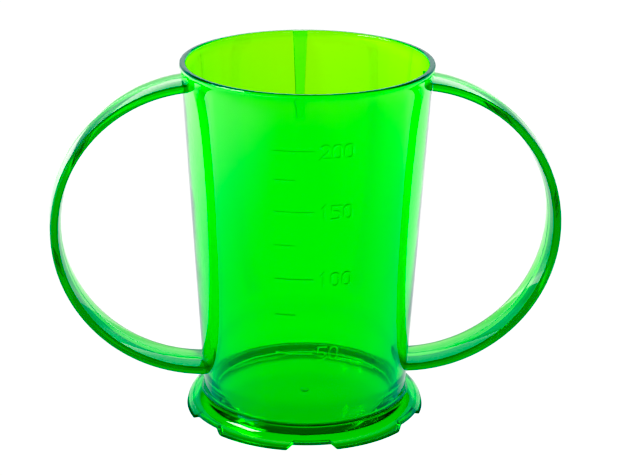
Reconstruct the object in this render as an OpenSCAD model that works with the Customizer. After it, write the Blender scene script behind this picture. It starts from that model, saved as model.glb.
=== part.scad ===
// Two-handled drinking beaker in clear green plastic. Millimetres, +Z up, origin at the
// centre of the ring of feet that the beaker stands on. The front, with the volume marks,
// faces -Y, and the handles stand out along +X and -X.

/* [Cup] */
// Height of the rim above the table
cup_h = 99; // [90:1:110]
// Outer diameter of the rim
rim_d = 68.4; // [66:0.2:72]
// Outer radius that the straight side wall would have at the table
wall_base_r = 27.75; // [26:0.25:29]
// Outward slope of the outer wall, in millimetres per millimetre of height
wall_slope = 0.0617; // [0.04:0.0005:0.065]
// Wall thickness just under the rim
wall_t_top = 1.45; // [1.3:0.05:2.2]
// Wall thickness at the floor
wall_t_base = 2.5; // [2:0.1:3]
// Height over which the wall thickens outward into the rim
lip_h = 5; // [3:0.5:5]
// Radius of the rim's two edges
rim_edge_r = 0.6; // [0.3:0.1:0.6]

/* [Base] */
// Height of the inside of the floor
floor_z = 4.5; // [4:0.1:6]
// Thickness of the floor
floor_t = 2.1; // [1.5:0.1:2.4]
// Radius between the floor and the inner wall
floor_fillet_r = 0.8; // [0.5:0.1:3]
// Outer diameter of the ring of feet
foot_d = 66; // [64:0.5:70]
// Height at which the flared skirt leaves the wall
skirt_h = 6.6; // [6.2:0.1:8]
// Thickness of the skirt
skirt_t = 2.4; // [2:0.1:2.6]
// Number of feet
foot_n = 6; // [4:1:8]
// Height of the gaps between the feet
gap_h = 1.5; // [1.5:0.1:2.2]
// Angle that a gap takes up at its top
gap_top_deg = 18.5; // [12:0.5:22]
// Angle that a gap takes up at the table
gap_base_deg = 24; // [18:0.5:28]

/* [Handles] */
// Distance of a handle loop's centre from the cup's axis
loop_x = 27.9; // [26:0.1:32]
// Height of a handle loop's centre
loop_z = 53; // [50:0.5:56]
// Radius of the middle of the handle strap
loop_r = 40.4; // [38:0.1:40.8]
// Thickness of the strap
strap_t = 2.2; // [1.8:0.1:3]
// Width of the strap
strap_w = 13.5; // [10:0.5:18]
// Radius of the strap's edges
strap_edge_r = 0.6; // [0.3:0.1:0.8]
// How far each face of the strap swells between its edges
strap_crown = 0.45; // [0.1:0.05:0.6]

/* [Marks] */
// How far the mark lines stand out of the wall
mark_relief = 0.15; // [0.15:0.05:0.4]
// How far the numerals stand out of the wall
digit_relief = 0.25; // [0.2:0.05:0.5]
// Thickness of the mark lines and of the numerals' strokes
mark_stroke = 0.6; // [0.3:0.05:0.6]
// Height of the numerals
digit_h = 4.2; // [3:0.1:5]
// Width of one numeral
digit_w = 2.7; // [2:0.1:3]
// Angle round from the front where every mark line starts
line_start_deg = -19; // [-25:0.5:-15]
// Angle where the long lines end
long_end_deg = 0; // [-2:0.5:2]
// Angle where the short lines end
short_end_deg = -8.7; // [-12:0.1:-6]

/* [Rib] */
// Length of the rib inside the back wall, down from the rim
rib_len = 25; // [15:1:35]
// Width of the rib at the rim
rib_top_w = 4.1; // [3:0.1:6]
// Width of the rib at its lower end
rib_base_w = 2.1; // [1.5:0.1:3]
// How far the rib stands in from the wall
rib_t = 0.8; // [0.8:0.1:2]

/* [Hidden] */
$fn = 96;
cup_colour = [0.05, 0.85, 0.1, 0.75];
rim_r = rim_d / 2;
foot_r = foot_d / 2;
skirt_start_r = 28.9;
skirt_start_z = 5.2;
skirt_bend = [32.4, 4.6];
underside_z = floor_z - floor_t;
foot_in_r = foot_r - skirt_t;
under_bend_w = 2.4;
foot_edge = 0.3;
gate_r = 1.1;
gate_h = 0.4;
long_marks = [[83.6, "200"], [66.9, "150"], [48.0, "100"], [26.9, "50"]];
short_marks = [75.7, 57.5, 37.8];
numeral_start_deg = 2.4;
digit_gap = 0.45;
numeral_reach = 6;
overlap = 0.3;
rib_drop = 0.1;
below = 0.5;
curve_steps = 6;

function outer_r(z) = wall_base_r + wall_slope * z;
function inner_r(z) =
    outer_r(floor_z) - wall_t_base
    + (outer_r(cup_h) - wall_t_top - outer_r(floor_z) + wall_t_base)
        * (z - floor_z) / (cup_h - floor_z);

// Points of an arc about a centre, from angle a0 to a1
function arc(cx, cz, r, a0, a1, n = curve_steps) =
    [for (i = [0:n]) let (a = a0 + (a1 - a0) * i / n) [cx + r * cos(a), cz + r * sin(a)]];

// Points of a curve that leaves p0 towards p1 and arrives at p2 from p1
function bend(p0, p1, p2, n = curve_steps) =
    [for (i = [0:n]) let (t = i / n) (1 - t) * (1 - t) * p0 + 2 * t * (1 - t) * p1 + t * t * p2];

// The cup's section, from the middle of its underside round to the middle of its floor
function cup_section() = concat(
    [[0, underside_z - gate_h], [gate_r, underside_z - gate_h], [gate_r, underside_z]],
    bend([foot_in_r - under_bend_w, underside_z],
         [foot_in_r - under_bend_w / 2, underside_z],
         [foot_in_r - under_bend_w / 2 + 0.3, underside_z - 0.7], 3),
    [[foot_in_r, foot_edge], [foot_in_r + foot_edge, 0], [foot_r - foot_edge, 0], [foot_r, foot_edge]],
    bend([foot_r - 0.05, 2 * foot_edge], skirt_bend, [skirt_start_r, skirt_start_z]),
    bend([skirt_start_r - 0.15, skirt_start_z + 0.05],
         [outer_r(skirt_start_z) + 0.1, skirt_start_z + 0.2],
         [outer_r(skirt_h), skirt_h], 4),
    bend([outer_r(cup_h - lip_h), cup_h - lip_h],
         [outer_r(cup_h - lip_h / 2), cup_h - lip_h / 2],
         [rim_r, cup_h - 2 * rim_edge_r], 4),
    arc(rim_r - rim_edge_r, cup_h - rim_edge_r, rim_edge_r, 0, 90, 4),
    arc(inner_r(cup_h) + rim_edge_r, cup_h - rim_edge_r, rim_edge_r, 90, 180, 4),
    arc(inner_r(floor_z) - floor_fillet_r, floor_z + floor_fillet_r, floor_fillet_r, 0, -90),
    [[0, floor_z]]
);

// A shell that follows the cup's outer wall, from in_by inside it to out_by outside it
module wall_shell(z0, z1, in_by, out_by) {
    rotate_extrude()
        polygon([
            [outer_r(z0) - in_by, z0],
            [outer_r(z0) + out_by, z0],
            [outer_r(z1) + out_by, z1],
            [outer_r(z1) - in_by, z1],
        ]);
}

// A sector of a disc round the axis, between two angles from the front, thick enough in Z
module front_sector(a0, a1, z0, z1) {
    reach = rim_r + numeral_reach;
    translate([0, 0, z0])
        linear_extrude(z1 - z0)
            polygon([
                [0, 0],
                [reach * sin(a0), -reach * cos(a0)],
                [reach * sin(a1), -reach * cos(a1)],
            ]);
}

// One mark line round the front wall
module mark_line(z, end_deg) {
    intersection() {
        wall_shell(z - mark_stroke / 2, z + mark_stroke / 2, overlap, mark_relief);
        front_sector(line_start_deg, end_deg, z - 1, z + 1);
    }
}

// Strokes of the numerals, in a box from [0, 0] to [digit_w, digit_h]
module stroke(w, h) {
    square([w, h]);
}

module ring_part(cx, cy, r) {
    translate([cx, cy])
        difference() {
            circle(r);
            circle(r - mark_stroke);
        }
}

module digit_0() {
    r = digit_w / 2;
    difference() {
        union() {
            translate([r, r]) circle(r);
            translate([r, digit_h - r]) circle(r);
            translate([0, r]) stroke(digit_w, digit_h - digit_w);
        }
        translate([r, r]) circle(r - mark_stroke);
        translate([r, digit_h - r]) circle(r - mark_stroke);
        translate([mark_stroke, r]) stroke(digit_w - 2 * mark_stroke, digit_h - digit_w);
    }
}

module digit_1() {
    translate([digit_w / 2, 0]) stroke(mark_stroke, digit_h);
    polygon([
        [digit_w / 2 + 0.1, digit_h],
        [digit_w / 2 - 0.75, digit_h - 0.9],
        [digit_w / 2 - 0.45, digit_h - 1.2],
        [digit_w / 2 + 0.1, digit_h - 0.6],
    ]);
}

module digit_2() {
    r = digit_w / 2;
    stroke(digit_w, mark_stroke);
    intersection() {
        ring_part(r, digit_h - r, r);
        translate([0, digit_h - r]) stroke(digit_w, r);
    }
    polygon([
        [0, mark_stroke - 0.1],
        [0.6, mark_stroke - 0.1],
        [digit_w, digit_h - r + 0.02],
        [digit_w - mark_stroke, digit_h - r + 0.02],
    ]);
}

module digit_5() {
    r = digit_w / 2;
    translate([0, digit_h - mark_stroke]) stroke(digit_w, mark_stroke);
    translate([0, 2 * r - mark_stroke]) stroke(mark_stroke, digit_h - 2 * r + mark_stroke);
    translate([0, 2 * r - mark_stroke]) stroke(r, mark_stroke);
    intersection() {
        ring_part(r, r, r);
        translate([r - 0.02, 0]) stroke(r + 0.02, 2 * r);
    }
    stroke(r, mark_stroke);
}

module digit(c) {
    if (c == "0") digit_0();
    if (c == "1") digit_1();
    if (c == "2") digit_2();
    if (c == "5") digit_5();
}

// One numeral's digits, each turned to face straight out of the wall, middle on height z
module numeral(z, digits) {
    pitch_deg = (digit_w + digit_gap) / outer_r(z) * 180 / PI;
    for (i = [0:len(digits) - 1])
        rotate([0, 0, numeral_start_deg + pitch_deg * (i + 0.5)])
            translate([-digit_w / 2, -rim_r + numeral_reach, z - digit_h / 2])
                rotate([90, 0, 0])
                    linear_extrude(numeral_reach + 2)
                        digit(digits[i]);
}

// The wedge-shaped rib inside the back wall
module rib() {
    top = cup_h - rib_drop;
    mid_wall_r = rim_r - wall_t_top / 2;
    intersection() {
        rotate_extrude()
            polygon([
                [inner_r(cup_h - rib_len) - rib_t, cup_h - rib_len],
                [inner_r(cup_h - rib_len) + overlap, cup_h - rib_len],
                [inner_r(top) + overlap, top],
                [inner_r(top) - rib_t, top],
            ]);
        rotate([90, 0, 180])
            linear_extrude(mid_wall_r)
                polygon([
                    [-rib_base_w / 2, cup_h - rib_len],
                    [rib_base_w / 2, cup_h - rib_len],
                    [rib_top_w / 2, top],
                    [-rib_top_w / 2, top],
                ]);
    }
}

// One gap between two feet, with sloping sides that carry on a little below the table
module foot_gap() {
    half_base = foot_r * tan(gap_base_deg / 2);
    half_top = foot_r * tan(gap_top_deg / 2);
    half_below = half_base + (half_base - half_top) * below / gap_h;
    rotate([90, 0, 0])
        translate([0, 0, foot_in_r - under_bend_w])
            linear_extrude(foot_r - foot_in_r + under_bend_w + 2)
                polygon([
                    [-half_below, -below],
                    [half_below, -below],
                    [half_top, gap_h],
                    [-half_top, gap_h],
                ]);
}

module cup_body() {
    color(cup_colour)
        difference() {
            union() {
                rotate_extrude() polygon(cup_section());
                rib();
                for (m = long_marks) {
                    mark_line(m[0], long_end_deg);
                    intersection() {
                        wall_shell(m[0] - digit_h, m[0] + digit_h, overlap, digit_relief);
                        numeral(m[0], m[1]);
                    }
                }
                for (z = short_marks)
                    mark_line(z, short_end_deg);
            }
            for (i = [0:foot_n - 1])
                rotate([0, 0, i * 360 / foot_n])
                    foot_gap();
        }
}

// Points across one face of the strap, which swells in the middle. The outer face has out = 1
// and runs one way, and the inner face has out = -1 and runs back
function strap_face(out, n = 5) =
    let (half = strap_w / 2 - strap_edge_r)
    [for (i = [-n + 1:n - 1])
        [loop_r + out * (strap_t / 2 + strap_crown * (1 - pow(i / n, 2))), out * half * i / n]];

// The strap of the right handle: a hoop round a Y axis, cut off where it meets the wall
module strap() {
    a = strap_w / 2;
    b = strap_t / 2;
    e = strap_edge_r;
    difference() {
        translate([loop_x, 0, loop_z])
            rotate([90, 0, 0])
                rotate_extrude()
                    polygon(concat(
                        strap_face(1),
                        arc(loop_r + b - e, a - e, e, 0, 90, 4),
                        arc(loop_r - b + e, a - e, e, 90, 180, 4),
                        strap_face(-1),
                        arc(loop_r - b + e, -a + e, e, 180, 270, 4),
                        arc(loop_r + b - e, -a + e, e, 270, 360, 4)
                    ));
        rotate_extrude()
            polygon([
                [0, -1],
                [outer_r(-1), -1],
                [outer_r(cup_h + 1), cup_h + 1],
                [0, cup_h + 1],
            ]);
        translate([-2 * rim_r, -rim_r, -1])
            cube([2 * rim_r, 2 * rim_r, cup_h + 2]);
    }
}

module handle_right() {
    color(cup_colour) strap();
}

module handle_left() {
    color(cup_colour) mirror([1, 0, 0]) strap();
}

cup_body();
handle_left();
handle_right();
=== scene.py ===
"""An open two-handled drinking beaker in clear green plastic, on a white light table.

The cup's section, the handle hoops and the volume marks repeat the CAD model's driving
dimensions in millimetres; the cup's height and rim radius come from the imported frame.
Angles round the cup are degrees from the front (-Y), positive towards +X.
"""
import math

import bpy
from mathutils import Matrix, Vector


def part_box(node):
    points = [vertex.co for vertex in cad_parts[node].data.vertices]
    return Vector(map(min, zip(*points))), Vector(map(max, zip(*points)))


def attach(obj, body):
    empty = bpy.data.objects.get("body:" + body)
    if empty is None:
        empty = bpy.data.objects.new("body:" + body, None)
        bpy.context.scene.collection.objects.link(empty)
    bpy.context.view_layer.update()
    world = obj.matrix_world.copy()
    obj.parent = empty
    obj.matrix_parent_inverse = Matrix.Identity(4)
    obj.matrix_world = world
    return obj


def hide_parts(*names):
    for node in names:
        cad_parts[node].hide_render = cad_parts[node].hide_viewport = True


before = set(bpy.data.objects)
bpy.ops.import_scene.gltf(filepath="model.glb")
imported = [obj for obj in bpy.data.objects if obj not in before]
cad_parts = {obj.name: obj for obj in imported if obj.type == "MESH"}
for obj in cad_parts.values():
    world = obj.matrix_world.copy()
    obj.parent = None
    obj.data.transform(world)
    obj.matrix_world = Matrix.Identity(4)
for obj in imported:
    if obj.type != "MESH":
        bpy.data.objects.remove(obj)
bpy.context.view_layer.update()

MM = 0.001

# ---------------------------------------------------------------- driving dimensions, mm
cup_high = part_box("cup_body")[1]
CUP_H = cup_high.z / MM
RIM_R = cup_high.x / MM
WALL_BASE_R = 27.75
WALL_SLOPE = 0.0617
WALL_T_TOP = 1.45
WALL_T_BASE = 2.5
LIP_H = 5.0
RIM_EDGE_R = 0.6

FLOOR_Z = 4.5
FLOOR_T = 2.1
FLOOR_FILLET_R = 0.8
FOOT_R = 33.0
FOOT_EDGE = 0.3
SKIRT_T = 2.4
SKIRT_H = 6.6
SKIRT_START = (28.9, 5.2)
SKIRT_BEND = (32.4, 4.6)
FILLET_START = (28.75, 5.25)
FILLET_BEND = (28.2, 5.4)
UNDER_BEND_W = 2.4
GAP_N = 6
GAP_H = 1.5
GAP_TOP_DEG = 18.5
GAP_BASE_DEG = 24.0
GAP_ROUNDING = 0.15
GATE_R = 1.1
GATE_H = 0.4

LOOP_X = 27.9
LOOP_Z = 53.0
LOOP_R = 40.4
STRAP_T = 2.2
STRAP_W = 13.5
STRAP_EDGE_R = 0.6
STRAP_CROWN = 0.45
PARTING_H = 0.05
PARTING_W = 0.3
BOND_GAP = 0.1

RIB_LEN = 25.0
RIB_TOP_W = 4.1
RIB_BASE_W = 2.1
RIB_T = 0.8
RIB_DRAFT = 0.15

MARK_RELIEF = 0.15
DIGIT_RELIEF = 0.25
MARK_ROOT = 0.3
MARK_STROKE = 0.6
DIGIT_H = 4.2
DIGIT_W = 2.7
FLAG_W = 0.7
FLAG_H = 0.8
DIGIT_GAP = 0.45
DIGIT_PITCH = DIGIT_W + DIGIT_GAP
NUMERAL_START_DEG = 2.4
LINE_START_DEG = -19.0
LONG_END_DEG = 0.0
SHORT_END_DEG = -8.7
LONG_MARKS = ((83.6, "200"), (66.9, "150"), (48.0, "100"), (26.9, "50"))
SHORT_MARKS = (75.7, 57.5, 37.8)


def outer_r(z):
    return WALL_BASE_R + WALL_SLOPE * z


def inner_r(z):
    low = outer_r(FLOOR_Z) - WALL_T_BASE
    high = outer_r(CUP_H) - WALL_T_TOP
    return low + (high - low) * (z - FLOOR_Z) / (CUP_H - FLOOR_Z)


# ---------------------------------------------------------------- curves and meshes
def bend(p0, p1, p2, steps, start=0.0):
    """Points of a curve that leaves p0 towards p1 and arrives at p2 from p1."""
    points = []
    for i in range(steps + 1):
        t = start + (1 - start) * i / steps
        a, b, c = (1 - t) ** 2, 2 * t * (1 - t), t * t
        points.append((a * p0[0] + b * p1[0] + c * p2[0], a * p0[1] + b * p1[1] + c * p2[1]))
    return points


def bend_start(p0, p1, p2, z):
    """Where along that curve the height is z."""
    low, high = 0.0, 1.0
    rising = p2[1] > p0[1]
    for _ in range(30):
        t = (low + high) / 2
        height = (1 - t) ** 2 * p0[1] + 2 * t * (1 - t) * p1[1] + t * t * p2[1]
        if (height < z) == rising:
            low = t
        else:
            high = t
    return (low + high) / 2


def arc(cr, cz, radius, a0, a1, steps):
    points = []
    for i in range(steps + 1):
        a = math.radians(a0 + (a1 - a0) * i / steps)
        points.append((cr + radius * math.cos(a), cz + radius * math.sin(a)))
    return points


def line(p0, p1, steps):
    """Points from p0 to p1, without p0."""
    return [
        (p0[0] + (p1[0] - p0[0]) * i / steps, p0[1] + (p1[1] - p0[1]) * i / steps)
        for i in range(1, steps + 1)
    ]


def on_cup(radius, angle_deg, z):
    a = math.radians(angle_deg)
    return (radius * math.sin(a) * MM, -radius * math.cos(a) * MM, z * MM)


SMOOTH_DEG = 32


def make_object(name, vertices, faces):
    mesh = bpy.data.meshes.new(name)
    mesh.from_pydata(vertices, [], faces)
    mesh.validate()
    obj = bpy.data.objects.new(name, mesh)
    bpy.context.scene.collection.objects.link(obj)
    finish_normals(obj)
    return obj


def finish_normals(obj):
    """Smooth shading, but sharp along edges that turn more than SMOOTH_DEG."""
    for polygon in obj.data.polygons:
        polygon.use_smooth = True
    obj.data.set_sharp_from_angle(angle=math.radians(SMOOTH_DEG))


# ---------------------------------------------------------------- cup
UNDER_Z = FLOOR_Z - FLOOR_T
FOOT_IN_R = FOOT_R - SKIRT_T
COLUMN_STEP_DEG = 0.5
RIB_ZONE_DEG = 5

# three-point curves of the section: inside the skirt, outside it, and up into the wall
UNDER = ((FOOT_IN_R - UNDER_BEND_W, UNDER_Z), (FOOT_IN_R - 1.0, UNDER_Z - 0.1), (FOOT_IN_R, 0.0))
FLARE = ((FOOT_R, 0.0), SKIRT_BEND, SKIRT_START)
FILLET = (FILLET_START, FILLET_BEND, (outer_r(SKIRT_H), SKIRT_H))


def gap_height(angle_deg):
    """How far the skirt's edge stands above the table: 0 on a foot, GAP_H in a gap."""
    pitch = 360 / GAP_N
    off = abs((angle_deg + pitch / 2) % pitch - pitch / 2)
    t = (GAP_BASE_DEG / 2 - off) / ((GAP_BASE_DEG - GAP_TOP_DEG) / 2)

    def area(x):
        """Area under a ramp that climbs from 0 to 1 and then stays there."""
        if x < 0:
            return 0
        return x * x / 2 if x < 1 else x - 0.5

    return GAP_H * (area(t + GAP_ROUNDING) - area(t - GAP_ROUNDING)) / (2 * GAP_ROUNDING)


def cup_rows(edge_z):
    """The cup's section over a skirt edge at edge_z, from the gate under the floor, round the
    outside and over the rim, to the floor: [(radius, height)], and how many are outside."""
    edge = FOOT_EDGE
    rows = [(GATE_R - 0.3, UNDER_Z - GATE_H), (GATE_R, UNDER_Z - GATE_H + 0.1), (GATE_R + 0.1, UNDER_Z)]
    rows += line(rows[-1], UNDER[0], 4)[:-1]
    inside = bend(UNDER[2], UNDER[1], UNDER[0], 9, bend_start(UNDER[2], UNDER[1], UNDER[0], edge_z + edge))
    rows += inside[::-1]
    outside = bend(*FLARE, 28, bend_start(*FLARE, edge_z + edge))
    in_r, out_r = inside[0][0], outside[0][0]
    rows += arc(in_r + edge, edge_z + edge, edge, 180, 270, 4)[1:]
    rows += line((in_r + edge, edge_z), (out_r - edge, edge_z), 2)
    rows += arc(out_r - edge, edge_z + edge, edge, 270, 360, 4)[1:-1]
    rows += outside
    rows += bend(*FILLET, 10)
    rows += line((outer_r(SKIRT_H), SKIRT_H), (outer_r(CUP_H - LIP_H), CUP_H - LIP_H), 14)
    rows += bend((outer_r(CUP_H - LIP_H), CUP_H - LIP_H), (outer_r(CUP_H - LIP_H / 2), CUP_H - LIP_H / 2),
                 (RIM_R - 0.05, CUP_H - 1.3), 8)[1:]
    rows += arc(RIM_R - RIM_EDGE_R, CUP_H - RIM_EDGE_R, RIM_EDGE_R, 0, 90, 6)
    outer_rows = len(rows)
    rows += arc(inner_r(CUP_H) + RIM_EDGE_R, CUP_H - RIM_EDGE_R, RIM_EDGE_R, 90, 180, 6)
    top, foot = CUP_H - RIM_EDGE_R, CUP_H - RIB_LEN
    rows += line((inner_r(top), top), (inner_r(foot), foot), 5)
    rows.append((inner_r(foot - RIB_DRAFT), foot - RIB_DRAFT))
    low = FLOOR_Z + FLOOR_FILLET_R
    rows += line((inner_r(foot - RIB_DRAFT), foot - RIB_DRAFT), (inner_r(low), low), 10)
    rows += arc(inner_r(FLOOR_Z) - FLOOR_FILLET_R, low, FLOOR_FILLET_R, 0, -90, 8)[1:]
    rows += line((inner_r(FLOOR_Z) - FLOOR_FILLET_R, FLOOR_Z), (2, FLOOR_Z), 4)
    return rows, outer_rows


def cup_columns():
    """Angles round the cup, half a step off the round ones, where marks start and end. A column at
    the rib is an offset in half widths of the rib instead."""
    count = int(360 / COLUMN_STEP_DEG)
    angles = [(i + 0.5) * COLUMN_STEP_DEG for i in range(count)]
    plain = [(a, None) for a in angles if abs(a - 180) > RIB_ZONE_DEG]
    half_top = RIB_TOP_W / 2
    side = 1 + RIB_DRAFT / half_top
    ribbed = [(180.0, s) for s in (-side, -1, -0.5, 0, 0.5, 1, side)]
    before = [c for c in plain if c[0] < 180]
    return before + ribbed + [c for c in plain if c[0] > 180]


def column_point(column, row, on_inner_wall):
    """A row's place in a column. Rows on the inner wall stand in by RIB_T where they are on the rib."""
    angle, offset = column
    radius, z = row
    if offset is None:
        return on_cup(radius, angle, z)
    share = min(max((z - CUP_H + RIB_LEN) / RIB_LEN, 0), 1)
    half = (RIB_BASE_W + (RIB_TOP_W - RIB_BASE_W) * share) / 2
    on_rib = abs(offset) <= 1 and z >= CUP_H - RIB_LEN
    if on_inner_wall and on_rib:
        radius -= RIB_T
    return on_cup(radius, 180 + math.degrees(offset * half / RIM_R), z)


def make_cup():
    columns = cup_columns()
    vertices = [on_cup(0, 0, FLOOR_Z - FLOOR_T - GATE_H), on_cup(0, 0, FLOOR_Z)]
    starts = []
    count = 0
    for column in columns:
        rows, outer_rows = cup_rows(gap_height(column[0]))
        starts.append(len(vertices))
        count = len(rows)
        for i, row in enumerate(rows):
            vertices.append(column_point(column, row, i >= outer_rows))
    faces = []
    for i, a in enumerate(starts):
        b = starts[(i + 1) % len(starts)]
        faces.append((0, b, a))
        faces.append((1, a + count - 1, b + count - 1))
        for j in range(count - 1):
            faces.append((a + j, b + j, b + j + 1, a + j + 1))
    return make_object("beaker_cup", vertices, faces)


# ---------------------------------------------------------------- volume marks
def glyph(digit):
    """The middle line of a numeral's stroke, in a box from (0, 0) to (DIGIT_W, DIGIT_H)."""
    half = MARK_STROKE / 2
    r = DIGIT_W / 2 - half
    right, top = DIGIT_W - half, DIGIT_H - half
    middle = DIGIT_W / 2
    if digit == "0":
        return arc(middle, top - r, r, 180, 0, 12) + arc(middle, half + r, r, 0, -180, 12)
    if digit == "1":
        return [(middle - FLAG_W, top - FLAG_H), (middle, top), (middle, 0)]
    if digit == "2":
        return arc(middle, top - r, r, 180, -35, 14) + [(half, half), (DIGIT_W, half)]
    bowl_top = half + 2 * r
    return ([(DIGIT_W, top), (half, top), (half, bowl_top), (middle, bowl_top)]
            + arc(middle, half + r, r, 90, -90, 12)[1:] + [(0, half)])


def stroke_sides(points, width, closed):
    """Points to the left and right of a line, with mitred corners."""
    sides = []
    n = len(points)
    for i, p in enumerate(points):
        before = points[i - 1] if i or closed else None
        after = points[(i + 1) % n] if i < n - 1 or closed else None
        turns = []
        for a, b in ((before, p), (p, after)):
            if a is not None and b is not None:
                length = math.dist(a, b)
                turns.append(((a[1] - b[1]) / length, (b[0] - a[0]) / length))
        nx = sum(t[0] for t in turns) / len(turns)
        ny = sum(t[1] for t in turns) / len(turns)
        scale = width / 2 / (nx * nx + ny * ny)
        sides.append(((p[0] + nx * scale, p[1] + ny * scale), (p[0] - nx * scale, p[1] - ny * scale)))
    return sides


def add_stroke(vertices, faces, points, relief, start_deg, base_z, closed=False):
    """A raised half-round stroke on the wall. Points are millimetres round the wall and up it."""
    first = len(vertices)
    section = [(math.cos(math.radians(a)), relief * math.sin(math.radians(a))) for a in range(0, 181, 30)]
    section += [(-1, -MARK_ROOT), (1, -MARK_ROOT)]
    size = len(section)
    for left, right in stroke_sides(points, MARK_STROKE, closed):
        for share, out in section:
            u = (left[0] * (1 + share) + right[0] * (1 - share)) / 2
            z = base_z + (left[1] * (1 + share) + right[1] * (1 - share)) / 2
            vertices.append(on_cup(outer_r(z) + out, start_deg + math.degrees(u / outer_r(base_z)), z))
    n = len(points)
    for i in range(n if closed else n - 1):
        a = first + size * i
        b = first + size * ((i + 1) % n)
        for j in range(size):
            k = (j + 1) % size
            faces.append((a + j, b + j, b + k, a + k))
    if not closed:
        end = first + size * (n - 1)
        faces.append(tuple(range(first, first + size)))
        faces.append(tuple(range(end + size - 1, end - 1, -1)))


def make_marks():
    vertices, faces = [], []
    heights = [(z, LONG_END_DEG) for z, _ in LONG_MARKS] + [(z, SHORT_END_DEG) for z in SHORT_MARKS]
    for z, end_deg in heights:
        length = math.radians(end_deg - LINE_START_DEG) * outer_r(z)
        points = [(0, 0)] + line((0, 0), (length, 0), round(end_deg - LINE_START_DEG))
        add_stroke(vertices, faces, points, MARK_RELIEF, LINE_START_DEG, z)
    for z, digits in LONG_MARKS:
        for i, digit in enumerate(digits):
            start = NUMERAL_START_DEG + math.degrees(i * DIGIT_PITCH / outer_r(z))
            base_z = z - DIGIT_H / 2
            add_stroke(vertices, faces, glyph(digit), DIGIT_RELIEF, start, base_z, digit == "0")
    return make_object("marks", vertices, faces)


def add_marks(cup):
    marks = make_marks()
    union = cup.modifiers.new("marks", "BOOLEAN")
    union.operation = "UNION"
    union.solver = "EXACT"
    union.object = marks
    graph = bpy.context.evaluated_depsgraph_get()
    joined = bpy.data.meshes.new_from_object(cup.evaluated_get(graph))
    cup.modifiers.remove(union)
    cup.data = joined
    bpy.data.objects.remove(marks)
    finish_normals(cup)


# ---------------------------------------------------------------- handles
def strap_outline():
    """Half of the strap's section, from the middle of one edge face round the outside to the
    other: [(distance out from the middle of the strap, place across it)]. The other half mirrors it."""
    a, b, e = STRAP_W / 2, STRAP_T / 2, STRAP_EDGE_R
    near = [(out, -across) for out, across in arc(b - e, a - e, e, 0, 90, 5)][::-1]
    far = arc(b - e, a - e, e, 0, 90, 5)
    across = [(a - e) * i / 8 for i in range(-7, 8) if i] + [-PARTING_W / 2, 0, PARTING_W / 2]
    face = [(b + STRAP_CROWN * (1 - (y / (a - e)) ** 2) + (0 if y else PARTING_H), y) for y in sorted(across)]
    return near + face + far


LOOP_STEPS = 150


def end_angle(out, across, low, high):
    """Angle round the loop at which a line of the strap reaches the cup's wall."""
    for _ in range(40):
        a = (low + high) / 2
        x = LOOP_X + (LOOP_R + out) * math.cos(a)
        z = LOOP_Z + (LOOP_R + out) * math.sin(a)
        if math.hypot(x, across) > outer_r(z) + BOND_GAP:
            low = a
        else:
            high = a
    return (low + high) / 2


def make_handle(name, side):
    """A strap swept round its loop, each line of it ending at the cup's wall. Side is 1 or -1."""
    half = strap_outline()
    outline = half + [(-out, across) for out, across in half[::-1]]
    n, steps = len(outline), LOOP_STEPS
    vertices, faces = [], []
    for out, across in outline:
        top = end_angle(out, across, math.radians(45), math.radians(135))
        base = end_angle(out, across, math.radians(-45), math.radians(-135))
        for i in range(steps + 1):
            a = base + (top - base) * i / steps
            x = LOOP_X + (LOOP_R + out) * math.cos(a)
            z = LOOP_Z + (LOOP_R + out) * math.sin(a)
            vertices.append((side * x * MM, across * MM, z * MM))
    row = steps + 1
    for k in range(n):
        a, b = k * row, (k + 1) % n * row
        for i in range(steps):
            faces.append((a + i, a + i + 1, b + i + 1, b + i))
    for k in range(n // 2 - 1):
        a, b = k * row, (k + 1) * row
        c, d = (n - 2 - k) * row, (n - 1 - k) * row
        faces.append((a, b, c, d))
        faces.append((d + steps, c + steps, b + steps, a + steps))
    if side > 0:
        faces = [f[::-1] for f in faces]
    return make_object(name, vertices, faces)


# ---------------------------------------------------------------- materials
def nodes_of(owner):
    owner.use_nodes = True
    owner.node_tree.nodes.clear()
    return owner.node_tree.nodes, owner.node_tree.links


PLASTIC_IOR = 1.57
CUP_ABSORBED = (0.70, 0.9825, 0.0)
HANDLE_ABSORBED = (0.65, 0.955, 0.0)
ABSORPTION = 2000
RIPPLE_SCALE = 55.0
RIPPLE_DETAIL = 2.0
RIPPLE_HEIGHT = 0.00008
SMEAR_SCALE = 90.0
SMEAR_DETAIL = 4.0
SMEAR_START = 0.45
SMEAR_FULL = 0.75
CLEAN_ROUGHNESS = 0.0
HANDLED_ROUGHNESS = 0.03


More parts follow.
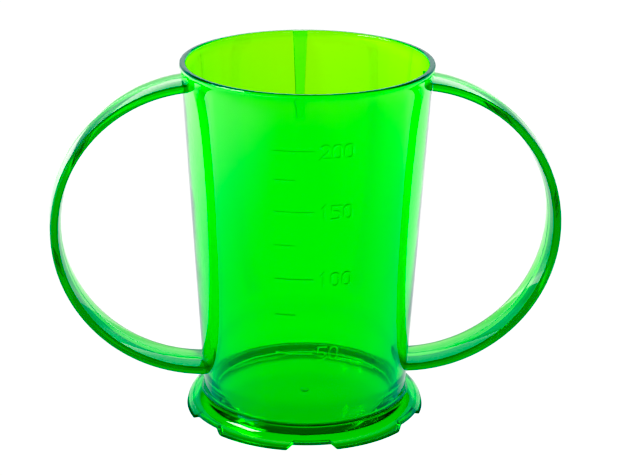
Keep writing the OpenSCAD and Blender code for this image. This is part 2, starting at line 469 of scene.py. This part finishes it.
def clear_plastic(name, absorbed):
    """Polished clear plastic: colour by absorption in its depth, with faint moulding ripples
    in the surface and a trace of haze in scattered patches."""
    material = bpy.data.materials.new(name)
    nodes, links = nodes_of(material)
    out = nodes.new("ShaderNodeOutputMaterial")
    shader = nodes.new("ShaderNodeBsdfPrincipled")
    shader.inputs["Base Color"].default_value = (1, 1, 1, 1)
    shader.inputs["Transmission Weight"].default_value = 1
    shader.inputs["IOR"].default_value = PLASTIC_IOR
    links.new(shader.outputs["BSDF"], out.inputs["Surface"])

    place = nodes.new("ShaderNodeTexCoord").outputs["Object"]
    ripples = nodes.new("ShaderNodeTexNoise")
    ripples.inputs["Scale"].default_value = RIPPLE_SCALE
    ripples.inputs["Detail"].default_value = RIPPLE_DETAIL
    links.new(place, ripples.inputs["Vector"])
    bump = nodes.new("ShaderNodeBump")
    bump.inputs["Strength"].default_value = 1.0
    bump.inputs["Distance"].default_value = RIPPLE_HEIGHT
    links.new(ripples.outputs["Fac"], bump.inputs["Height"])
    links.new(bump.outputs["Normal"], shader.inputs["Normal"])
    smears = nodes.new("ShaderNodeTexNoise")
    smears.inputs["Scale"].default_value = SMEAR_SCALE
    smears.inputs["Detail"].default_value = SMEAR_DETAIL
    links.new(place, smears.inputs["Vector"])
    smear = smears.outputs["Fac"]
    haze = ramp_node(nodes, links, smear, SMEAR_START, SMEAR_FULL, CLEAN_ROUGHNESS, HANDLED_ROUGHNESS)
    links.new(haze, shader.inputs["Roughness"])

    depth = nodes.new("ShaderNodeVolumeAbsorption")
    depth.inputs["Color"].default_value = (*absorbed, 1)
    depth.inputs["Density"].default_value = ABSORPTION
    links.new(depth.outputs["Volume"], out.inputs["Volume"])
    return material


# ---------------------------------------------------------------- floor, light and camera
def math_node(nodes, links, operation, *values):
    node = nodes.new("ShaderNodeMath")
    node.operation = operation
    for socket, value in zip(node.inputs, values):
        if isinstance(value, (int, float)):
            socket.default_value = value
        else:
            links.new(value, socket)
    return node.outputs["Value"]


def ramp_node(nodes, links, value, start, end, low, high):
    """Low up to start, high from end, and a smooth change between."""
    node = nodes.new("ShaderNodeMapRange")
    node.interpolation_type = "SMOOTHSTEP"
    links.new(value, node.inputs["Value"])
    for name, number in (("From Min", start), ("From Max", end), ("To Min", low), ("To Max", high)):
        node.inputs[name].default_value = number
    return node.outputs["Result"]


SEEN_WHITE = 1.05


def seen_or_lighting(nodes, links, lighting):
    """White where the camera sees it straight on, and otherwise the glow that lights the object."""
    path = nodes.new("ShaderNodeLightPath")
    mix = nodes.new("ShaderNodeMix")
    links.new(path.outputs["Is Camera Ray"], mix.inputs["Factor"])
    links.new(lighting, mix.inputs["A"])
    mix.inputs["B"].default_value = SEEN_WHITE
    return mix.outputs["Result"]


# Light table, metres. Each glow is a strength, and each pair is where a change starts and ends.
TABLE_HALF = 3.0
TABLE_DROP = 0.0002
# Painted pool of light on the left of the table.
TABLE_PAINTED_LIGHT_LEFT = 1.8
TABLE_PAINTED_LIGHT_LEFT_X = (-0.26, -0.10)
# Painted light on the table to both sides behind the cup.
TABLE_PAINTED_LIGHT_BACK = 1.3
TABLE_PAINTED_LIGHT_BACK_ASIDE = (0.05, 0.10)
TABLE_PAINTED_LIGHT_BACK_Y = (0.0, 0.05)
# Painted shadow of the cup on the table, dimmest under its feet.
TABLE_PAINTED_SHADOW_UNDER_CUP = 0.7
TABLE_PAINTED_SHADOW_UNDER_FEET = 0.15
TABLE_PAINTED_SHADOW_CUP_EDGE = (0.026, 0.030)
TABLE_PAINTED_SHADOW_FEET_EDGE = (0.034, 0.038)


def make_floor():
    """A white light table: painted light makes it brighter on the left and to both sides behind the cup,
    and a painted shadow makes it dimmer under the cup, most of all under its feet."""
    size = TABLE_HALF
    mesh = bpy.data.meshes.new("light_table_painted_light_and_shadow")
    corners = [(-size, -size, 0), (size, -size, 0), (size, size, 0), (-size, size, 0)]
    mesh.from_pydata(corners, [], [(0, 1, 2, 3)])
    floor = bpy.data.objects.new("light_table_painted_light_and_shadow", mesh)
    bpy.context.scene.collection.objects.link(floor)
    floor.location.z = -TABLE_DROP
    material = bpy.data.materials.new("light_table_painted_light_and_shadow")
    nodes, links = nodes_of(material)
    out = nodes.new("ShaderNodeOutputMaterial")
    glow = nodes.new("ShaderNodeEmission")
    place = nodes.new("ShaderNodeTexCoord").outputs["Object"]
    axes = nodes.new("ShaderNodeSeparateXYZ")
    links.new(place, axes.inputs["Vector"])
    # Painted pool of light on the left.
    left = ramp_node(nodes, links, axes.outputs["X"], *TABLE_PAINTED_LIGHT_LEFT_X, TABLE_PAINTED_LIGHT_LEFT, 1.0)
    across = math_node(nodes, links, "POWER", axes.outputs["X"], 2.0)
    along = math_node(nodes, links, "POWER", axes.outputs["Y"], 2.0)
    radius = math_node(nodes, links, "SQRT", math_node(nodes, links, "ADD", across, along))
    # Painted shadow under the cup and its feet.
    inward = ramp_node(nodes, links, radius, *TABLE_PAINTED_SHADOW_CUP_EDGE, TABLE_PAINTED_SHADOW_UNDER_CUP, TABLE_PAINTED_SHADOW_UNDER_FEET)
    outward = ramp_node(nodes, links, radius, *TABLE_PAINTED_SHADOW_FEET_EDGE, 0.0, 1.0 - TABLE_PAINTED_SHADOW_UNDER_FEET)
    under = math_node(nodes, links, "ADD", inward, outward)
    # Painted light to both sides behind the cup.
    aside = math_node(nodes, links, "SQRT", across)
    aside = ramp_node(nodes, links, aside, *TABLE_PAINTED_LIGHT_BACK_ASIDE, 0.0, TABLE_PAINTED_LIGHT_BACK - 1.0)
    behind = ramp_node(nodes, links, axes.outputs["Y"], *TABLE_PAINTED_LIGHT_BACK_Y, 0.0, 1.0)
    back = math_node(nodes, links, "MULTIPLY", aside, behind)
    back = math_node(nodes, links, "ADD", back, 1.0)
    lighting = math_node(nodes, links, "MULTIPLY", left, under)
    lighting = math_node(nodes, links, "MULTIPLY", lighting, back)
    links.new(seen_or_lighting(nodes, links, lighting), glow.inputs["Strength"])
    links.new(glow.outputs["Emission"], out.inputs["Surface"])
    mesh.materials.append(material)


# Studio, by the height of a direction: 0 at the horizon and 1 straight up
HORIZON_GLOW = 0.8
WALL_GLOW = 1.25
WALL_RISE = (0.12, 0.20)
CEILING_GLOW = 0.1
CEILING_FADE = (0.34, 0.48)


def make_world():
    """White at the horizon, a bright band of lit wall a little above it, and a dim ceiling."""
    world = bpy.data.worlds.new("studio")
    bpy.context.scene.world = world
    nodes, links = nodes_of(world)
    out = nodes.new("ShaderNodeOutputWorld")
    back = nodes.new("ShaderNodeBackground")
    back.inputs["Color"].default_value = (1, 1, 1, 1)
    links.new(back.outputs["Background"], out.inputs["Surface"])
    direction = nodes.new("ShaderNodeTexCoord").outputs["Generated"]
    axes = nodes.new("ShaderNodeSeparateXYZ")
    links.new(direction, axes.inputs["Vector"])
    wall = ramp_node(nodes, links, axes.outputs["Z"], *WALL_RISE, HORIZON_GLOW, WALL_GLOW)
    fade = ramp_node(nodes, links, axes.outputs["Z"], *CEILING_FADE, 1.0, CEILING_GLOW / WALL_GLOW)
    sky = math_node(nodes, links, "MULTIPLY", wall, fade)
    links.new(seen_or_lighting(nodes, links, sky), back.inputs["Strength"])


LIGHT_TARGET = (0, 0, 0.06)
BACK_SOFTBOX = {"place": (-0.05, 0.26, 0.29), "width": 0.8, "height": 0.26, "radiance": 1.7}
LEFT_SOFTBOX = {"place": (-0.22, -0.03, 0.25), "width": 0.18, "height": 0.08, "radiance": 14}


def add_softbox(name, place, width, height, radiance):
    light = bpy.data.lights.new(name, "AREA")
    light.shape = "RECTANGLE"
    light.size = width
    light.size_y = height
    light.energy = radiance * math.pi * width * height
    lamp = bpy.data.objects.new(name, light)
    bpy.context.scene.collection.objects.link(lamp)
    lamp.location = place
    lamp.rotation_euler = (Vector(LIGHT_TARGET) - Vector(place)).to_track_quat("-Z", "Y").to_euler()
    lamp.visible_camera = False
    return lamp


def light_only(lamp, pieces):
    """A flagged lamp: its light reaches these pieces and nothing else."""
    lit = bpy.data.collections.new(lamp.name + "_lit")
    for piece in pieces:
        lit.objects.link(piece)
    lamp.light_linking.receiver_collection = lit


def make_lights(cup, handles):
    """A wide soft light behind for the handles, and a small one on the left that puts the white
    highlight on the cup's skirt."""
    light_only(add_softbox("back_softbox", **BACK_SOFTBOX), handles)
    light_only(add_softbox("left_softbox", **LEFT_SOFTBOX), [cup])


# Camera, millimetres and degrees
CAMERA_DISTANCE = 549.1
CAMERA_HEIGHT = 245.25
CAMERA_SIDE_DEG = 3.7
LOOK_SIDE_DEG = 3.803
LOOK_DOWN_DEG = 19.684
CAMERA_ROLL_DEG = 0.53
CAMERA_LENS = 123.69


def make_camera():
    data = bpy.data.cameras.new("camera")
    data.lens = CAMERA_LENS
    data.sensor_width = 36
    data.clip_start = 0.01
    camera = bpy.data.objects.new("camera", data)
    bpy.context.scene.collection.objects.link(camera)
    side = math.radians(CAMERA_SIDE_DEG)
    place = Vector((-math.sin(side), -math.cos(side), 0)) * CAMERA_DISTANCE
    place.z = CAMERA_HEIGHT
    turn = (Matrix.Rotation(-math.radians(LOOK_SIDE_DEG), 4, "Z")
            @ Matrix.Rotation(math.radians(90 - LOOK_DOWN_DEG), 4, "X")
            @ Matrix.Rotation(math.radians(CAMERA_ROLL_DEG), 4, "Z"))
    camera.matrix_world = Matrix.Translation(place * MM) @ turn
    bpy.context.scene.camera = camera


def make_pieces():
    cup_plastic = clear_plastic("clear_green_plastic", CUP_ABSORBED)
    handle_plastic = clear_plastic("clear_green_handle", HANDLE_ABSORBED)
    cup = make_cup()
    add_marks(cup)
    left = make_handle("left_handle", -1)
    right = make_handle("right_handle", 1)
    pieces = ((cup, "cup_body", cup_plastic, "clear_green_plastic"),
              (left, "handle_left", handle_plastic, "clear_green_handle"),
              (right, "handle_right", handle_plastic, "clear_green_handle"))
    for piece, node, plastic, slot in pieces:
        piece.data.materials.clear()
        piece.data.materials.append(plastic)
        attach(piece, "root")
        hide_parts(node)
    return cup, [left, right]


BLACK_LEVEL = (0.172, 0.0, 0.05)


def set_look():
    """A plain display with the deep reds and blues taken down, and enough bounces for clear walls."""
    scene = bpy.context.scene
    view = scene.view_settings
    view.view_transform = "Standard"
    view.use_curve_mapping = True
    view.curve_mapping.black_level = BLACK_LEVEL
    view.curve_mapping.update()
    scene.cycles.max_bounces = 40
    scene.cycles.transmission_bounces = 40
    scene.cycles.glossy_bounces = 20
    scene.cycles.transparent_max_bounces = 16
    scene.cycles.blur_glossy = 0


cup, handles = make_pieces()
make_floor()
make_world()
make_lights(cup, handles)
make_camera()
set_look()
